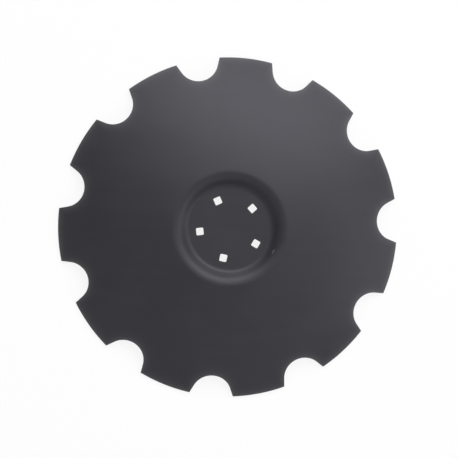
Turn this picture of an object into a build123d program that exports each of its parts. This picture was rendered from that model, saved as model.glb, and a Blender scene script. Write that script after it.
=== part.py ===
from build123d import *
import os
from math import asin, cos, degrees, radians, sin, sqrt, tan

# Harrow disc blade: one pressed steel sheet, a shallow dish with a notched rim and a sunken flat centre.
# Millimetres. The origin is the centre of the hub seat, the convex face of the flat centre.
# +Z is the disc axis, out of the convex side. +X runs through one bolt hole and one notch.

# Sheet and dish, measured on the convex face
disc_diameter = 560.0
sheet_thickness = 5.0
dish_radius = 690.0

# Sunken flat centre, measured on the convex face
seat_diameter = 131.0
seat_depth = 18.0  # below the crown that the dish would reach on the axis
neck_angle = 38.0  # slope of the neck between the seat and the dish
foot_radius = 12.0  # hollow bend where the seat turns up into the neck
crest_radius = 23.5  # round bend where the neck turns over into the dish

# Rim notches, drawn on the convex face as seen along the axis
notch_count = 11
notch_radius = 32.8
notch_depth = 35.4
notch_flare = 24.5  # angle of each straight flank to the notch's own centre line

# Square bolt holes, each with one side facing the axis
bolt_count = 5
bolt_circle_diameter = 98.0
bolt_square = 12.0
bolt_corner_radius = 2.0

# Every cutting tool runs past the faces that it cuts by this much
overrun = 5.0

rim_radius = disc_diameter / 2
dish_centre = seat_depth - dish_radius


def sheet_section():
    """Half section of the sheet: the line of the convex face, thickened on the concave side."""
    foot = seat_diameter / 2 + foot_radius * tan(radians(neck_angle) / 2)
    slope_x = cos(radians(neck_angle))
    slope_z = sin(radians(neck_angle))
    # The neck's line runs on from the foot until it is dish_radius away from the dish's centre.
    along = foot * slope_x - dish_centre * slope_z
    reach = sqrt(along**2 - foot**2 - dish_centre**2 + dish_radius**2) - along
    crest = foot + reach * slope_x
    crest_bearing = degrees(asin(crest / dish_radius))
    rim_bearing = degrees(asin(rim_radius / dish_radius))
    with BuildLine(Plane.XZ) as face_line:
        Line((0, 0), (foot, 0))
        Line((foot, 0), (crest, reach * slope_z))
        CenterArc((0, dish_centre), dish_radius, 90 - crest_bearing, crest_bearing - rim_bearing)
        fillet(face_line.vertices().sort_by(Axis.X)[1], foot_radius)
        fillet(face_line.vertices().sort_by(Axis.X)[3], crest_radius)
    return Face(face_line.wire().offset_2d(sheet_thickness, side=Side.LEFT))


def notch_tool():
    """The space of one notch, punched square to the sheet at the middle of the notch's depth."""
    punch_radius = rim_radius - notch_depth / 2
    lean = asin(punch_radius / dish_radius)
    sheet_plane = Plane(
        origin=(punch_radius, 0, dish_centre + dish_radius * cos(lean)),
        x_dir=(cos(lean), 0, -sin(lean)),
        z_dir=(sin(lean), 0, cos(lean)),
    )

    def down_slope(radius):
        """Place on the leaning plane of what is seen along the axis at this distance from it."""
        return (radius - punch_radius) / cos(lean)

    flare = radians(notch_flare)
    bend_centre = rim_radius - notch_depth + notch_radius
    bend_end = bend_centre - notch_radius * sin(flare)
    mouth_radius = rim_radius + overrun
    mouth_half = notch_radius * cos(flare) + (mouth_radius - bend_end) * tan(flare)
    with BuildSketch(sheet_plane) as outline:
        with BuildLine():
            bend = EllipticalCenterArc(
                (down_slope(bend_centre), 0),
                x_radius=notch_radius / cos(lean),
                y_radius=notch_radius,
                start_angle=90 + notch_flare,
                arc_size=180 - 2 * notch_flare,
            )
            mouth_x = down_slope(mouth_radius)
            Polyline(bend @ 1, (mouth_x, -mouth_half), (mouth_x, mouth_half), bend @ 0)
        make_face()
    return extrude(outline.sketch, sheet_thickness + overrun, both=True)


def bolt_hole_tool():
    """The space of one square bolt hole, with rounded corners."""
    square = RectangleRounded(bolt_square, bolt_square, bolt_corner_radius)
    return extrude(square, sheet_thickness + overrun, both=True)


def disc_blade():
    """The whole blade: the section turned about the axis, then notched at the rim and pierced at the seat."""
    sheet = revolve(sheet_section(), Axis.Z)
    notch = notch_tool()
    notches = [Rot(Z=360 / notch_count * place) * notch for place in range(notch_count)]
    holes = PolarLocations(bolt_circle_diameter / 2, bolt_count) * bolt_hole_tool()
    return sheet - notches - holes


os.makedirs("parts", exist_ok=True)
export_step(disc_blade(), "parts/disc_blade.step")
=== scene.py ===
import bmesh
import bpy
import numpy as np
from mathutils import Matrix, Vector


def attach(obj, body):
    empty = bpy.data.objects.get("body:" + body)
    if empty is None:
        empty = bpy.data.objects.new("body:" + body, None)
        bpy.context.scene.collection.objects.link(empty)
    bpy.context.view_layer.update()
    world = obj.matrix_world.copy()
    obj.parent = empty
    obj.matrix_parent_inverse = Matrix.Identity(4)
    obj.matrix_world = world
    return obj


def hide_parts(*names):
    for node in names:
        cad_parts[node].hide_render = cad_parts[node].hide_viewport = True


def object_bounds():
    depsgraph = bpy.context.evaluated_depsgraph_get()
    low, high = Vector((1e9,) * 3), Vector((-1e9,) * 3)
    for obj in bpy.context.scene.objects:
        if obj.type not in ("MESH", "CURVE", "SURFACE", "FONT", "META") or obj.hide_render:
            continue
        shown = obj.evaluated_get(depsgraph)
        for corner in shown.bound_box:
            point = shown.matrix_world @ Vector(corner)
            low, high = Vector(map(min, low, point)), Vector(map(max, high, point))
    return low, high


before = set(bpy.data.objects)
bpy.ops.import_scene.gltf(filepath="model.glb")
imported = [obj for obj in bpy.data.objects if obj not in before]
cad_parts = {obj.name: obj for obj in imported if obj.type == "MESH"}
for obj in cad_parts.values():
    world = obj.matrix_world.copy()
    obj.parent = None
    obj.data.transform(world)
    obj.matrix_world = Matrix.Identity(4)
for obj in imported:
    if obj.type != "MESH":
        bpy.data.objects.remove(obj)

# Notched harrow disc blade: the painted sheet, the floor that it lies on, the lights and the camera.
# Metres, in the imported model's frame: the seat's face is at the origin and the convex side is up.
cad_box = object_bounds()

# Sheet and dish, measured on the convex face
rim_radius = 0.280
sheet_thickness = 0.005
dish_radius = 0.690
seat_radius = 0.0655
seat_depth = 0.018
neck_angle = np.radians(38.0)
foot_radius = 0.012
crest_radius = 0.0235

# Rim notches, seen along the axis
notch_count = 11
notch_radius = 0.0328
notch_depth = 0.0354
notch_flare = np.radians(24.5)

# Square bolt holes
bolt_count = 5
bolt_circle_radius = 0.049
bolt_square = 0.012
bolt_corner_radius = 0.002

# Rounding that punching and paint leave on the edges
edge_round = 0.0003
tip_round = 0.0008
face_inset = 0.0007  # the face's last row of points stands this far in from an edge

# Columns round the blade: each notch pitch and each bolt sector takes a whole number of them
columns = notch_count * bolt_count * 16
pole_radius = 0.012
pole_columns = 12

dish_centre = seat_depth - dish_radius
slope_x = np.cos(neck_angle)
slope_z = np.sin(neck_angle)
foot_end = seat_radius + foot_radius * slope_z
foot_rise = foot_radius * (1 - slope_x)


def crest_centre():
    """Centre of the crest bend: its radius below the neck's line, and its radius inside the dish's sphere."""
    start = np.array([foot_end + crest_radius * slope_z, foot_rise - crest_radius * slope_x - dish_centre])
    along = start @ [slope_x, slope_z]
    reach = np.sqrt(along**2 - start @ start + (dish_radius - crest_radius) ** 2) - along
    return start[0] + reach * slope_x, start[1] + reach * slope_z + dish_centre


crest_x, crest_z = crest_centre()
crest_start = crest_x - crest_radius * slope_z
crest_end = crest_x * dish_radius / (dish_radius - crest_radius)


def convex_face(rho):
    """Height and slope angle of the convex face at a distance rho from the axis.

    Flat seat, then the foot bend with sin(slope) = (rho - seat) / foot radius, the straight neck,
    the crest bend with sin(slope) = (crest centre - rho) / crest radius, and the sphere of the dish.
    """
    in_foot = np.clip((rho - seat_radius) / foot_radius, 0, slope_z)
    in_crest = np.clip((crest_x - rho) / crest_radius, -1, slope_z)
    where = [rho <= seat_radius, rho <= foot_end, rho <= crest_start, rho <= crest_end]
    slope = np.select(
        where,
        [0 * rho, np.arcsin(in_foot), 0 * rho + neck_angle, np.arcsin(in_crest)],
        -np.arcsin(np.clip(rho / dish_radius, 0, 1)),
    )
    height = np.select(
        where,
        [
            0 * rho,
            foot_radius * (1 - np.cos(slope)),
            foot_rise + (rho - foot_end) * np.tan(neck_angle),
            crest_z + crest_radius * np.cos(slope),
        ],
        dish_centre + dish_radius * np.cos(slope),
    )
    return height, slope


def in_sheet(x, y, depth):
    """The point of the convex face at plan place x, y, moved by depth into the sheet, square to its face."""
    rho = np.hypot(x, y)
    height, slope = convex_face(rho)
    scale = 1 + depth * np.sin(slope) / np.maximum(rho, 1e-9)
    return np.stack([x * scale, y * scale, height - depth * np.cos(slope)], axis=-1)


def arc(centre, radius, start, end, steps):
    """Points and outward directions on an arc, from the start angle to the end angle."""
    angle = np.linspace(start, end, steps + 1)
    away = np.stack([np.cos(angle), np.sin(angle)], axis=-1)
    return centre + radius * away, away


def rim_outline():
    """Bearing, distance from the axis and outward direction of the convex face's outline, at every column.

    Half a pitch runs along the notch's round bottom, its straight flank, the rounded tip and the rim.
    The other half is its mirror image about the tooth's middle, and the pitch repeats round the blade.
    """
    middle = np.array([rim_radius - notch_depth + notch_radius, 0.0])
    flank = np.array([np.cos(notch_flare), np.sin(notch_flare)])
    across = np.array([-flank[1], flank[0]])
    bottom, away = arc(middle, notch_radius, np.pi, np.pi / 2 + notch_flare, 15)
    # The tip's centre lies tip_round from the flank's line and from the rim's circle.
    start = bottom[-1] + tip_round * across
    along = start @ flank
    reach = np.sqrt(along**2 - start @ start + (rim_radius - tip_round) ** 2) - along
    tip_centre = start + reach * flank
    tip_bearing = np.arctan2(tip_centre[1], tip_centre[0])
    side = bottom[-1] + np.linspace(0, reach, 6)[:, None] * flank
    tip, tip_away = arc(tip_centre, tip_round, notch_flare - np.pi / 2, tip_bearing, 3)
    rim, rim_away = arc(np.zeros(2), rim_radius, tip_bearing, np.pi / notch_count, 17)
    half = np.concatenate([bottom, side[1:], tip[1:], rim[1:]])
    outward = np.concatenate([-away, np.tile(-across, (5, 1)), tip_away[1:], rim_away[1:]])

    bearing = np.arctan2(half[:, 1], half[:, 0])
    reach = np.hypot(half[:, 0], half[:, 1])
    lean = np.arctan2(outward[:, 1], outward[:, 0]) - bearing
    lean = (lean + np.pi) % (2 * np.pi) - np.pi
    pitch = 2 * np.pi / notch_count
    bearing = np.concatenate([bearing[:-1], pitch - bearing[:0:-1]])
    reach = np.concatenate([reach[:-1], reach[:0:-1]])
    lean = np.concatenate([lean[:-1], -lean[:0:-1]])
    bearing = (bearing + pitch * np.arange(notch_count)[:, None]).ravel()
    return bearing, np.tile(reach, notch_count), bearing + np.tile(lean, notch_count)


def edge_rows():
    """Inset and depth of the rows round a punched edge: convex face, then the wall, then the hollow face."""
    turn = np.linspace(0, np.pi / 2, 4)
    lip = np.stack([edge_round * (1 - np.sin(turn)), edge_round * (1 - np.cos(turn))], axis=-1)
    lip = np.concatenate([[[face_inset, 0.0]], lip])
    under = lip[::-1] * [1, -1] + [0, sheet_thickness]
    middle = [[0, sheet_thickness / 3], [0, sheet_thickness * 2 / 3]]
    return np.concatenate([lip, middle, under])


def dish_grid():
    """Plan place and depth of every point from the seat's edge over the dish and round the rim.

    Near the seat the columns stand evenly. Towards the rim their bearings and distances run over
    smoothly into those of the outline, so the outer rows follow the notches.
    """
    even = np.arange(columns) * 2 * np.pi / columns
    bearing, reach, outward = rim_outline()
    edge_x, edge_y = reach * np.cos(bearing), reach * np.sin(bearing)
    inner_x, inner_y = edge_x - face_inset * np.cos(outward), edge_y - face_inset * np.sin(outward)
    inner_reach = np.hypot(inner_x, inner_y)
    shift = (np.arctan2(inner_y, inner_x) - even + np.pi) % (2 * np.pi) - np.pi

    foot = seat_radius + foot_radius * np.sin(np.linspace(0, neck_angle, 8))
    crest_turn = np.linspace(neck_angle, -np.arcsin(crest_end / dish_radius), 10)
    near_seat = np.concatenate([foot, crest_x - crest_radius * np.sin(crest_turn)])

    def face(from_edge):
        """Rows from the seat's edge outwards; from_edge is how far the outer ones lie from a tooth's rim."""
        share = 1 - np.array(from_edge)[:, None] / 1000 / (rim_radius - crest_end)
        rho = crest_end + share * (inner_reach - crest_end)
        angle = even + share**3 * shift
        rho = np.concatenate([np.repeat(near_seat[:, None], columns, axis=1), rho])
        angle = np.concatenate([np.repeat(even[None], len(near_seat), axis=0), angle])
        return rho * np.cos(angle), rho * np.sin(angle)

    # Millimetres from a tooth's rim: the hollow face needs fewer rows than the convex face.
    fine = [172, 158, 142, 126, 111, 97, 84, 72, 61, 51, 42, 34, 27, 21, 16, 12, 8.5, 5.5, 2.5]
    coarse = [165, 140, 115, 92, 72, 54, 38, 25, 15, 8, 3]
    top_x, top_y = face(fine)
    under_x, under_y = face(coarse)
    rows = edge_rows()
    ring_x = edge_x - rows[:, :1] * np.cos(outward)
    ring_y = edge_y - rows[:, :1] * np.sin(outward)
    x = np.concatenate([top_x, ring_x, under_x[::-1]])
    y = np.concatenate([top_y, ring_y, under_y[::-1]])
    depth = np.concatenate([np.zeros(len(top_x)), rows[:, 1], np.full(len(under_x), sheet_thickness)])
    wall = np.concatenate([np.zeros(len(top_x)), rows[:, 0] < edge_round / 2, np.zeros(len(under_x))])
    return x, y, depth, wall


def bolt_cell_grid(place):
    """Plan place and depth of every point of one bolt sector of the seat, round its square hole.

    Every column is a ray from the hole's centre, so a point is given by the ray's direction and a
    distance along it: that of the rounded square near the hole, and that of the sector's border away from it.
    """
    half = np.pi / bolt_count
    steps = columns // bolt_count
    outer = np.linspace(-half, half, steps + 1)[:-1]
    inner = np.linspace(half, -half, pole_columns + 1)[:-1]
    arcs_x = np.concatenate([seat_radius * np.cos(outer), pole_radius * np.cos(inner)]) - bolt_circle_radius
    arcs_y = np.concatenate([seat_radius * np.sin(outer), pole_radius * np.sin(inner)])
    corner = np.array([seat_radius, pole_radius])
    turn = np.arctan2(corner * np.sin(half), corner * np.cos(half) - bolt_circle_radius)
    side = np.linspace(turn[0], turn[1], 31)
    side_reach = bolt_circle_radius * np.tan(half) / (np.sin(side) - np.cos(side) * np.tan(half))
    arcs_turn = np.arctan2(arcs_y, arcs_x)
    arcs_reach = np.hypot(arcs_x, arcs_y)
    turn = np.concatenate([arcs_turn[:steps], side[:-1], arcs_turn[steps:], -side[:0:-1]])
    border = np.concatenate([arcs_reach[:steps], side_reach[:-1], arcs_reach[steps:], side_reach[:0:-1]])

    # Distance to a rounded square in that direction: to its flat side, or to its corner's arc
    fold = abs((turn + np.pi / 4) % (np.pi / 2) - np.pi / 4)
    straight = bolt_square / 2 - bolt_corner_radius

    def square(grow):
        flat = (bolt_square / 2 + grow) / np.cos(fold)
        round_radius = bolt_corner_radius + grow
        to_arc = round_radius**2 - straight**2 * (1 - np.sin(2 * fold))
        corner_reach = straight * (np.cos(fold) + np.sin(fold)) + np.sqrt(np.maximum(to_arc, 0))
        return np.where(flat * np.sin(fold) <= straight, flat, corner_reach)

    rows = edge_rows()
    near = square(face_inset)
    share = np.array([1.0, 0.62, 0.34, 0.15, 0.05])[:, None]
    face = near + share * (border - near)
    ring = np.stack([square(grow) for grow in rows[:, 0]])
    reach = np.concatenate([face, ring, face[::-1]])
    depth = np.concatenate([np.zeros(len(face)), rows[:, 1], np.full(len(face), sheet_thickness)])
    wall = np.concatenate([np.zeros(len(face)), rows[:, 0] < edge_round / 2, np.zeros(len(face))])
    x, y = bolt_circle_radius + reach * np.cos(turn), reach * np.sin(turn)
    angle = place * 2 * half
    return x * np.cos(angle) - y * np.sin(angle), x * np.sin(angle) + y * np.cos(angle), depth, wall


def pole_grid(depth):
    """Plan place and depth of the small round middle of one face of the seat, from the axis outwards."""
    angle = (np.arange(pole_columns * bolt_count) / pole_columns - 0.5) * 2 * np.pi / bolt_count
    rho = np.array([0, 0.5, 1.0])[:, None] * pole_radius
    return rho * np.cos(angle), rho * np.sin(angle), np.full(3, depth), np.zeros(3)


def distance_to_rim(x, y):
    """Distance in plan from each point to the rim's outline, found in one pitch because all are alike."""
    bearing, reach, outward = rim_outline()
    pitch = 2 * np.pi / notch_count
    one = slice(0, columns // notch_count * 2)
    edge = np.stack([reach[one] * np.cos(bearing[one]), reach[one] * np.sin(bearing[one])], axis=-1)
    angle = (np.arctan2(y, x) - pitch / 2) % pitch + pitch / 2
    place = np.stack([np.hypot(x, y) * np.cos(angle), np.hypot(x, y) * np.sin(angle)], axis=-1)
    near = np.empty(len(place))
    for part in np.array_split(np.arange(len(place)), 40):
        gap = place[part, None, :] - edge[None]
        near[part] = np.sqrt((gap**2).sum(axis=-1).min(axis=1))
    return near


def painted_blade():
    """The blade's whole skin, one closed mesh: the dish and rim, five bolt sectors and the round middle."""
    grids = [(dish_grid(), False)]
    grids += [(bolt_cell_grid(place), True) for place in range(bolt_count)]
    grids += [(pole_grid(0.0), False), (pole_grid(sheet_thickness), True)]
    points, faces, edge_gap, cut_wall = [], [], [], []
    first = 0
    for (x, y, depth, wall), inwards in grids:
        count, around = x.shape
        points.append(in_sheet(x, y, depth[:, None]).reshape(-1, 3))
        edge_gap.append(distance_to_rim(x.ravel(), y.ravel()))
        cut_wall.append(np.repeat(wall, around))
        number = first + np.arange(count * around).reshape(count, around)
        here, right = number, np.roll(number, -1, axis=1)
        quad = np.stack([here[:-1], here[1:], right[1:], right[:-1]], axis=-1).reshape(-1, 4)
        faces.append(quad[:, ::-1] if inwards else quad)
        first += count * around
    mesh = bpy.data.meshes.new("painted_blade")
    mesh.from_pydata(np.concatenate(points), [], np.concatenate(faces))
    for name, values in (("edge_gap", edge_gap), ("cut_wall", cut_wall)):
        layer = mesh.attributes.new(name, "FLOAT", "POINT")
        layer.data.foreach_set("value", np.concatenate(values).astype(np.float32))
    merged = bmesh.new()
    merged.from_mesh(mesh)
    bmesh.ops.remove_doubles(merged, verts=merged.verts, dist=2e-6)
    merged.to_mesh(mesh)
    merged.free()
    mesh.polygons.foreach_set("use_smooth", np.ones(len(mesh.polygons), bool))
    blade = bpy.data.objects.new("painted_blade", mesh)
    bpy.context.scene.collection.objects.link(blade)
    return blade


class Nodes:
    """A node material under construction: new nodes with their inputs set or joined in one call."""

    def __init__(self, name):
        self.material = bpy.data.materials.new(name)
        self.material.use_nodes = True
        self.tree = self.material.node_tree
        self.shader = self.tree.nodes["Principled BSDF"]

    def feed(self, socket, value):
        """Sets an input to a value, or joins it to another node's output."""
        if isinstance(value, bpy.types.NodeSocket):
            self.tree.links.new(value, socket)
        else:
            socket.default_value = value

    def add(self, kind, inputs, output=0, **settings):
        """A new node with its settings and inputs; gives back one of its outputs."""
        node = self.tree.nodes.new(kind)
        for key, value in settings.items():
            setattr(node, key, value)
        for key, value in inputs.items():
            self.feed(node.inputs[key], value)
        return node.outputs[output]

    def math(self, operation, *values):
        """One sum on up to three numbers or outputs."""
        return self.add("ShaderNodeMath", dict(enumerate(values)), operation=operation)

    def noise(self, place, scale, detail=2.0, roughness=0.5):
        """Soft noise of that many features per metre."""
        inputs = {"Vector": place, "Scale": scale, "Detail": detail, "Roughness": roughness}
        return self.add("ShaderNodeTexNoise", inputs)

    def ramp(self, value, low, high, to_low=0.0, to_high=1.0):
        """value between low and high, carried over smoothly to the range to_low to to_high."""
        inputs = {"Value": value, "From Min": low, "From Max": high, "To Min": to_low, "To Max": to_high}
        return self.add("ShaderNodeMapRange", inputs, interpolation_type="SMOOTHSTEP")

    def mix(self, share, first, second):
        """Blend of two colours."""
        node = self.tree.nodes.new("ShaderNodeMix")
        node.data_type = "RGBA"
        self.feed(node.inputs[0], share)
        self.feed(node.inputs[6], first)
        self.feed(node.inputs[7], second)
        return node.outputs[2]

    def attribute(self, name):
        """A number that the mesh holds at each of its points."""
        return self.add("ShaderNodeAttribute", {}, output="Fac", attribute_name=name)

    def parts(self, place):
        """The x, y and z of a place."""
        node = self.tree.nodes.new("ShaderNodeSeparateXYZ")
        self.feed(node.inputs[0], place)
        return node.outputs

    def square(self, value):
        """value times itself."""
        return self.math("MULTIPLY", value, value)

    def bump(self, height, distance, normal=None):
        """Bump of that full height in metres, on top of another one."""
        inputs = {"Height": height, "Distance": distance, "Strength": 1.0}
        if normal is not None:
            inputs["Normal"] = normal
        return self.add("ShaderNodeBump", inputs)


# Bearing of the streaks in the paint
streak_bearing = np.radians(30.5)

# Paint colours, linear
paint_dark = (0.0226, 0.0221, 0.0250, 1)
paint_light = (0.0262, 0.0256, 0.0289, 1)
# painted glow along the cut edges: light spilling over the dark edges, painted into the colour
painted_edge_glow = (0.0800, 0.0788, 0.0840, 1)
# scuffs on the neck, painted lighter so that they also show as painted glints
scuff_glint_grey = (0.1100, 0.1080, 0.1140, 1)

edge_glow_reach = 0.0047  # the painted glow along the cut edges fades to a third in this distance

# Features per metre in the paint's patterns
streaks_per_metre = 75.0
clouds_per_metre = 13.0
peel_per_metre = 520.0
swells_per_metre = 17.0
# size of the patches in the painted edge glow
edge_glow_spots_per_metre = 380.0
rags_per_metre = 700.0
grains_per_metre = 900.0

# Full heights of the unevenness that the bumps show
swell_height = 0.0004
grain_height = 0.00008
peel_height = 0.00002

# The paint's tone runs from dark to light between these values of the streaks and clouds
tone_range = (0.36, 0.64)
satin_roughness = (0.44, 0.465)
rougher_wall = 0.12
smoother_at_scuff_glints = 0.10
satin_tint = (0.90, 0.88, 1.0, 1)

# The scuffs on the neck, painted lighter as glints: a short clear one and a long faint one
scuff_glint_width = 0.0022
short_scuff_glint_length = 0.010
long_scuff_glint_length = 0.036
above_hollow_face = 0.0045  # at the scuffs and their painted glints only the convex face is higher than this


def scuff_glint_place(paint, place, bearing, distance, length):
    """1 on a ragged ellipse round the neck, of that length and at that bearing and distance; 0 off it."""
    x, y, height = paint.parts(place)
    radius = paint.math("SQRT", paint.math("ADD", paint.square(x), paint.square(y)))
    turned = paint.math("SUBTRACT", paint.math("ARCTAN2", y, x), float(np.radians(bearing)))
    along = paint.math("MULTIPLY", turned, 2 * distance / length)
    across = paint.math("MULTIPLY", paint.math("SUBTRACT", radius, distance), 2 / scuff_glint_width)
    spread = paint.math("ADD", paint.square(along), paint.square(across))
    ragged = paint.math("ADD", spread, paint.noise(place, rags_per_metre))
    on_convex_side = paint.math("GREATER_THAN", height, above_hollow_face)
    return paint.math("MULTIPLY", paint.ramp(ragged, 0.6, 1.6, 1.0, 0.0), on_convex_side)


def satin_black_paint():
    """Satin black paint on pressed steel: faint cloudiness, wiped streaks, fine peel, and a painted glow that
    lightens the edges.
    """
    paint = Nodes("satin_black_paint")
    place = paint.add("ShaderNodeTexCoord", {}, output="Object")

    # Streaks run along one direction, as a wiped or rolled coat shows them.
    along = paint.add(
        "ShaderNodeMapping",
        {"Vector": place, "Rotation": (0, 0, streak_bearing), "Scale": (9.0, 1.0, 2.5)},
        vector_type="TEXTURE",
    )
    streaks = paint.noise(along, streaks_per_metre, detail=3.0, roughness=0.6)
    clouds = paint.noise(place, clouds_per_metre, detail=3.0)
    peel = paint.noise(place, peel_per_metre, detail=1.0)
    swell = paint.noise(place, swells_per_metre, detail=1.0)

    tone = paint.math("MULTIPLY_ADD", streaks, 0.45, paint.math("MULTIPLY", clouds, 0.55))
    colour = paint.mix(paint.ramp(tone, *tone_range), paint_dark, paint_light)

    # Painted light: an uneven lighter glow is painted along the punched edges, and fades out over a few
    # millimetres.
    gap = paint.attribute("edge_gap")
    uneven = paint.ramp(paint.noise(place, edge_glow_spots_per_metre, detail=3.0), 0.3, 0.7, 0.62, 1.12)
    near_edge = paint.math("EXPONENT", paint.math("MULTIPLY", gap, -1 / edge_glow_reach))
    colour = paint.mix(paint.math("MULTIPLY", near_edge, uneven), colour, painted_edge_glow)

    # Something hard has scuffed the neck in two places; they are painted lighter, a painted glint on each
    # scuff.
    short_scuff_glint = scuff_glint_place(paint, place, bearing=2.6, distance=0.0793, length=short_scuff_glint_length)
    long_scuff_glint = scuff_glint_place(paint, place, bearing=21.0, distance=0.0797, length=long_scuff_glint_length)
    scuff_glint_mask = paint.math("MULTIPLY_ADD", long_scuff_glint, 0.11, short_scuff_glint)
    colour = paint.mix(scuff_glint_mask, colour, scuff_glint_grey)
    paint.feed(paint.shader.inputs["Base Color"], colour)

    # Walls that the punch sheared are rougher under the coat than the faces.
    wall = paint.attribute("cut_wall")
    rough = paint.ramp(tone, *tone_range, *satin_roughness)
    rough = paint.math("MULTIPLY_ADD", wall, rougher_wall, rough)
    paint.feed(paint.shader.inputs["Roughness"], paint.math("MULTIPLY_ADD", scuff_glint_mask, -smoother_at_scuff_glints, rough))
    paint.shader.inputs["Specular Tint"].default_value = satin_tint

    wavy = paint.bump(swell, swell_height)
    wall_grain = paint.math("MULTIPLY", wall, paint.noise(place, grains_per_metre))
    sheared = paint.bump(wall_grain, grain_height, normal=wavy)
    paint.feed(paint.shader.inputs["Normal"], paint.bump(peel, peel_height, normal=sheared))
    return paint.material


def pale_floor_material():
    """Plain pale floor: near white to the camera and in reflections, with a faint shadow of the blade."""
    floor = Nodes("pale_floor")
    floor.shader.inputs["Base Color"].default_value = (0.9, 0.9, 0.9, 1)
    floor.shader.inputs["Roughness"].default_value = 0.9
    glow = floor.add("ShaderNodeEmission", {"Color": (1, 1, 1, 1), "Strength": 1.0})
    rays = floor.tree.nodes.new("ShaderNodeLightPath").outputs
    seen = floor.math("MAXIMUM", rays["Is Camera Ray"], rays["Is Glossy Ray"])
    share = floor.math("MULTIPLY", seen, 0.87)
    both = floor.add("ShaderNodeMixShader", {0: share, 1: floor.shader.outputs["BSDF"], 2: glow})
    floor.feed(floor.tree.nodes["Material Output"].inputs["Surface"], both)
    return floor.material


def pale_floor():
    """A large flat square at the height of the rim, which the blade lies on."""
    half = 6.0
    mesh = bpy.data.meshes.new("floor")
    corners = [(-half, -half), (half, -half), (half, half), (-half, half)]
    mesh.from_pydata([(x, y, cad_box[0].z) for x, y in corners], [], [(0, 1, 2, 3)])
    mesh.materials.append(pale_floor_material())
    floor = bpy.data.objects.new("floor", mesh)
    bpy.context.scene.collection.objects.link(floor)


# The camera looks down on the convex side from a little to one side of the axis.
picture_right = np.radians(30.5)  # bearing of the picture's right-hand direction on the blade
camera_bearing = np.radians(176.6)
camera_elevation = np.radians(86.04)
camera_distance = 2.709
aim = np.array([-0.0009, -0.0014, 0.0])
lens_mm = 131.1

softbox_distance = 5.0


def camera_frame():
    """The camera's place and its right, up and backward directions."""
    level = np.cos(camera_elevation)
    back = np.array([level * np.cos(camera_bearing), level * np.sin(camera_bearing), np.sin(camera_elevation)])
    up = np.array([-np.sin(picture_right), np.cos(picture_right), 0.0])
    right = np.cross(up, back)
    right /= np.linalg.norm(right)
    return aim + camera_distance * back, right, np.cross(back, right), back


def add_camera():
    """The camera at the photograph's viewing angle."""
    place, right, up, back = camera_frame()
    data = bpy.data.cameras.new("camera")
    data.lens = lens_mm
    data.sensor_width = 36.0
    camera = bpy.data.objects.new("camera", data)
    turn = Matrix(np.stack([right, up, back], axis=-1).tolist()).to_4x4()
    camera.matrix_world = Matrix.Translation(Vector(place)) @ turn
    bpy.context.scene.collection.objects.link(camera)
    bpy.context.scene.camera = camera


def add_softbox(name, picture_angle, off_axis, size, power):
    """A square softbox that faces the blade, in a direction of the picture, some way off the blade's axis."""
    bearing = picture_right + np.radians(picture_angle)
    lean = np.radians(off_axis)
    away = Vector((np.cos(bearing) * np.sin(lean), np.sin(bearing) * np.sin(lean), np.cos(lean)))
    data = bpy.data.lights.new(name, "AREA")
    data.shape = "SQUARE"
    data.size = size
    data.energy = power
    light = bpy.data.objects.new(name, data)
    turn = away.to_track_quat("Z", "Y").to_matrix().to_4x4()
    light.matrix_world = Matrix.Translation(away * softbox_distance) @ turn
    bpy.context.scene.collection.objects.link(light)


def studio_world(fill):
    """White to the camera; elsewhere a soft even fill."""
    world = bpy.data.worlds.new("studio")
    world.use_nodes = True
    tree = world.node_tree
    background = tree.nodes["Background"]
    background.inputs["Color"].default_value = (1, 1, 1, 1)
    rays = tree.nodes.new("ShaderNodeLightPath")
    level = tree.nodes.new("ShaderNodeMapRange")
    level.inputs["To Min"].default_value = fill
    level.inputs["To Max"].default_value = 1.0
    tree.links.new(rays.outputs["Is Camera Ray"], level.inputs["Value"])
    tree.links.new(level.outputs["Result"], background.inputs["Strength"])
    bpy.context.scene.world = world


blade = painted_blade()
blade.data.materials.append(satin_black_paint())
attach(blade, "root")
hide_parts("disc_blade")

pale_floor()
studio_world(0.21)
# The key, second and top lights make the sheen on the dome, and the others lift its darker sides.
add_softbox("key_softbox", picture_angle=49, off_axis=48, size=3.4, power=106)
add_softbox("second_softbox", picture_angle=100, off_axis=50, size=3.1, power=101)
add_softbox("top_softbox", picture_angle=69, off_axis=23, size=3.1, power=42.5)
add_softbox("side_softbox", picture_angle=346, off_axis=58.5, size=3.1, power=58)
add_softbox("lower_softbox", picture_angle=295, off_axis=48, size=3.8, power=25)
add_softbox("left_softbox", picture_angle=230, off_axis=57, size=6.0, power=38.5)
add_camera()
bpy.context.scene.view_settings.view_transform = "Standard"
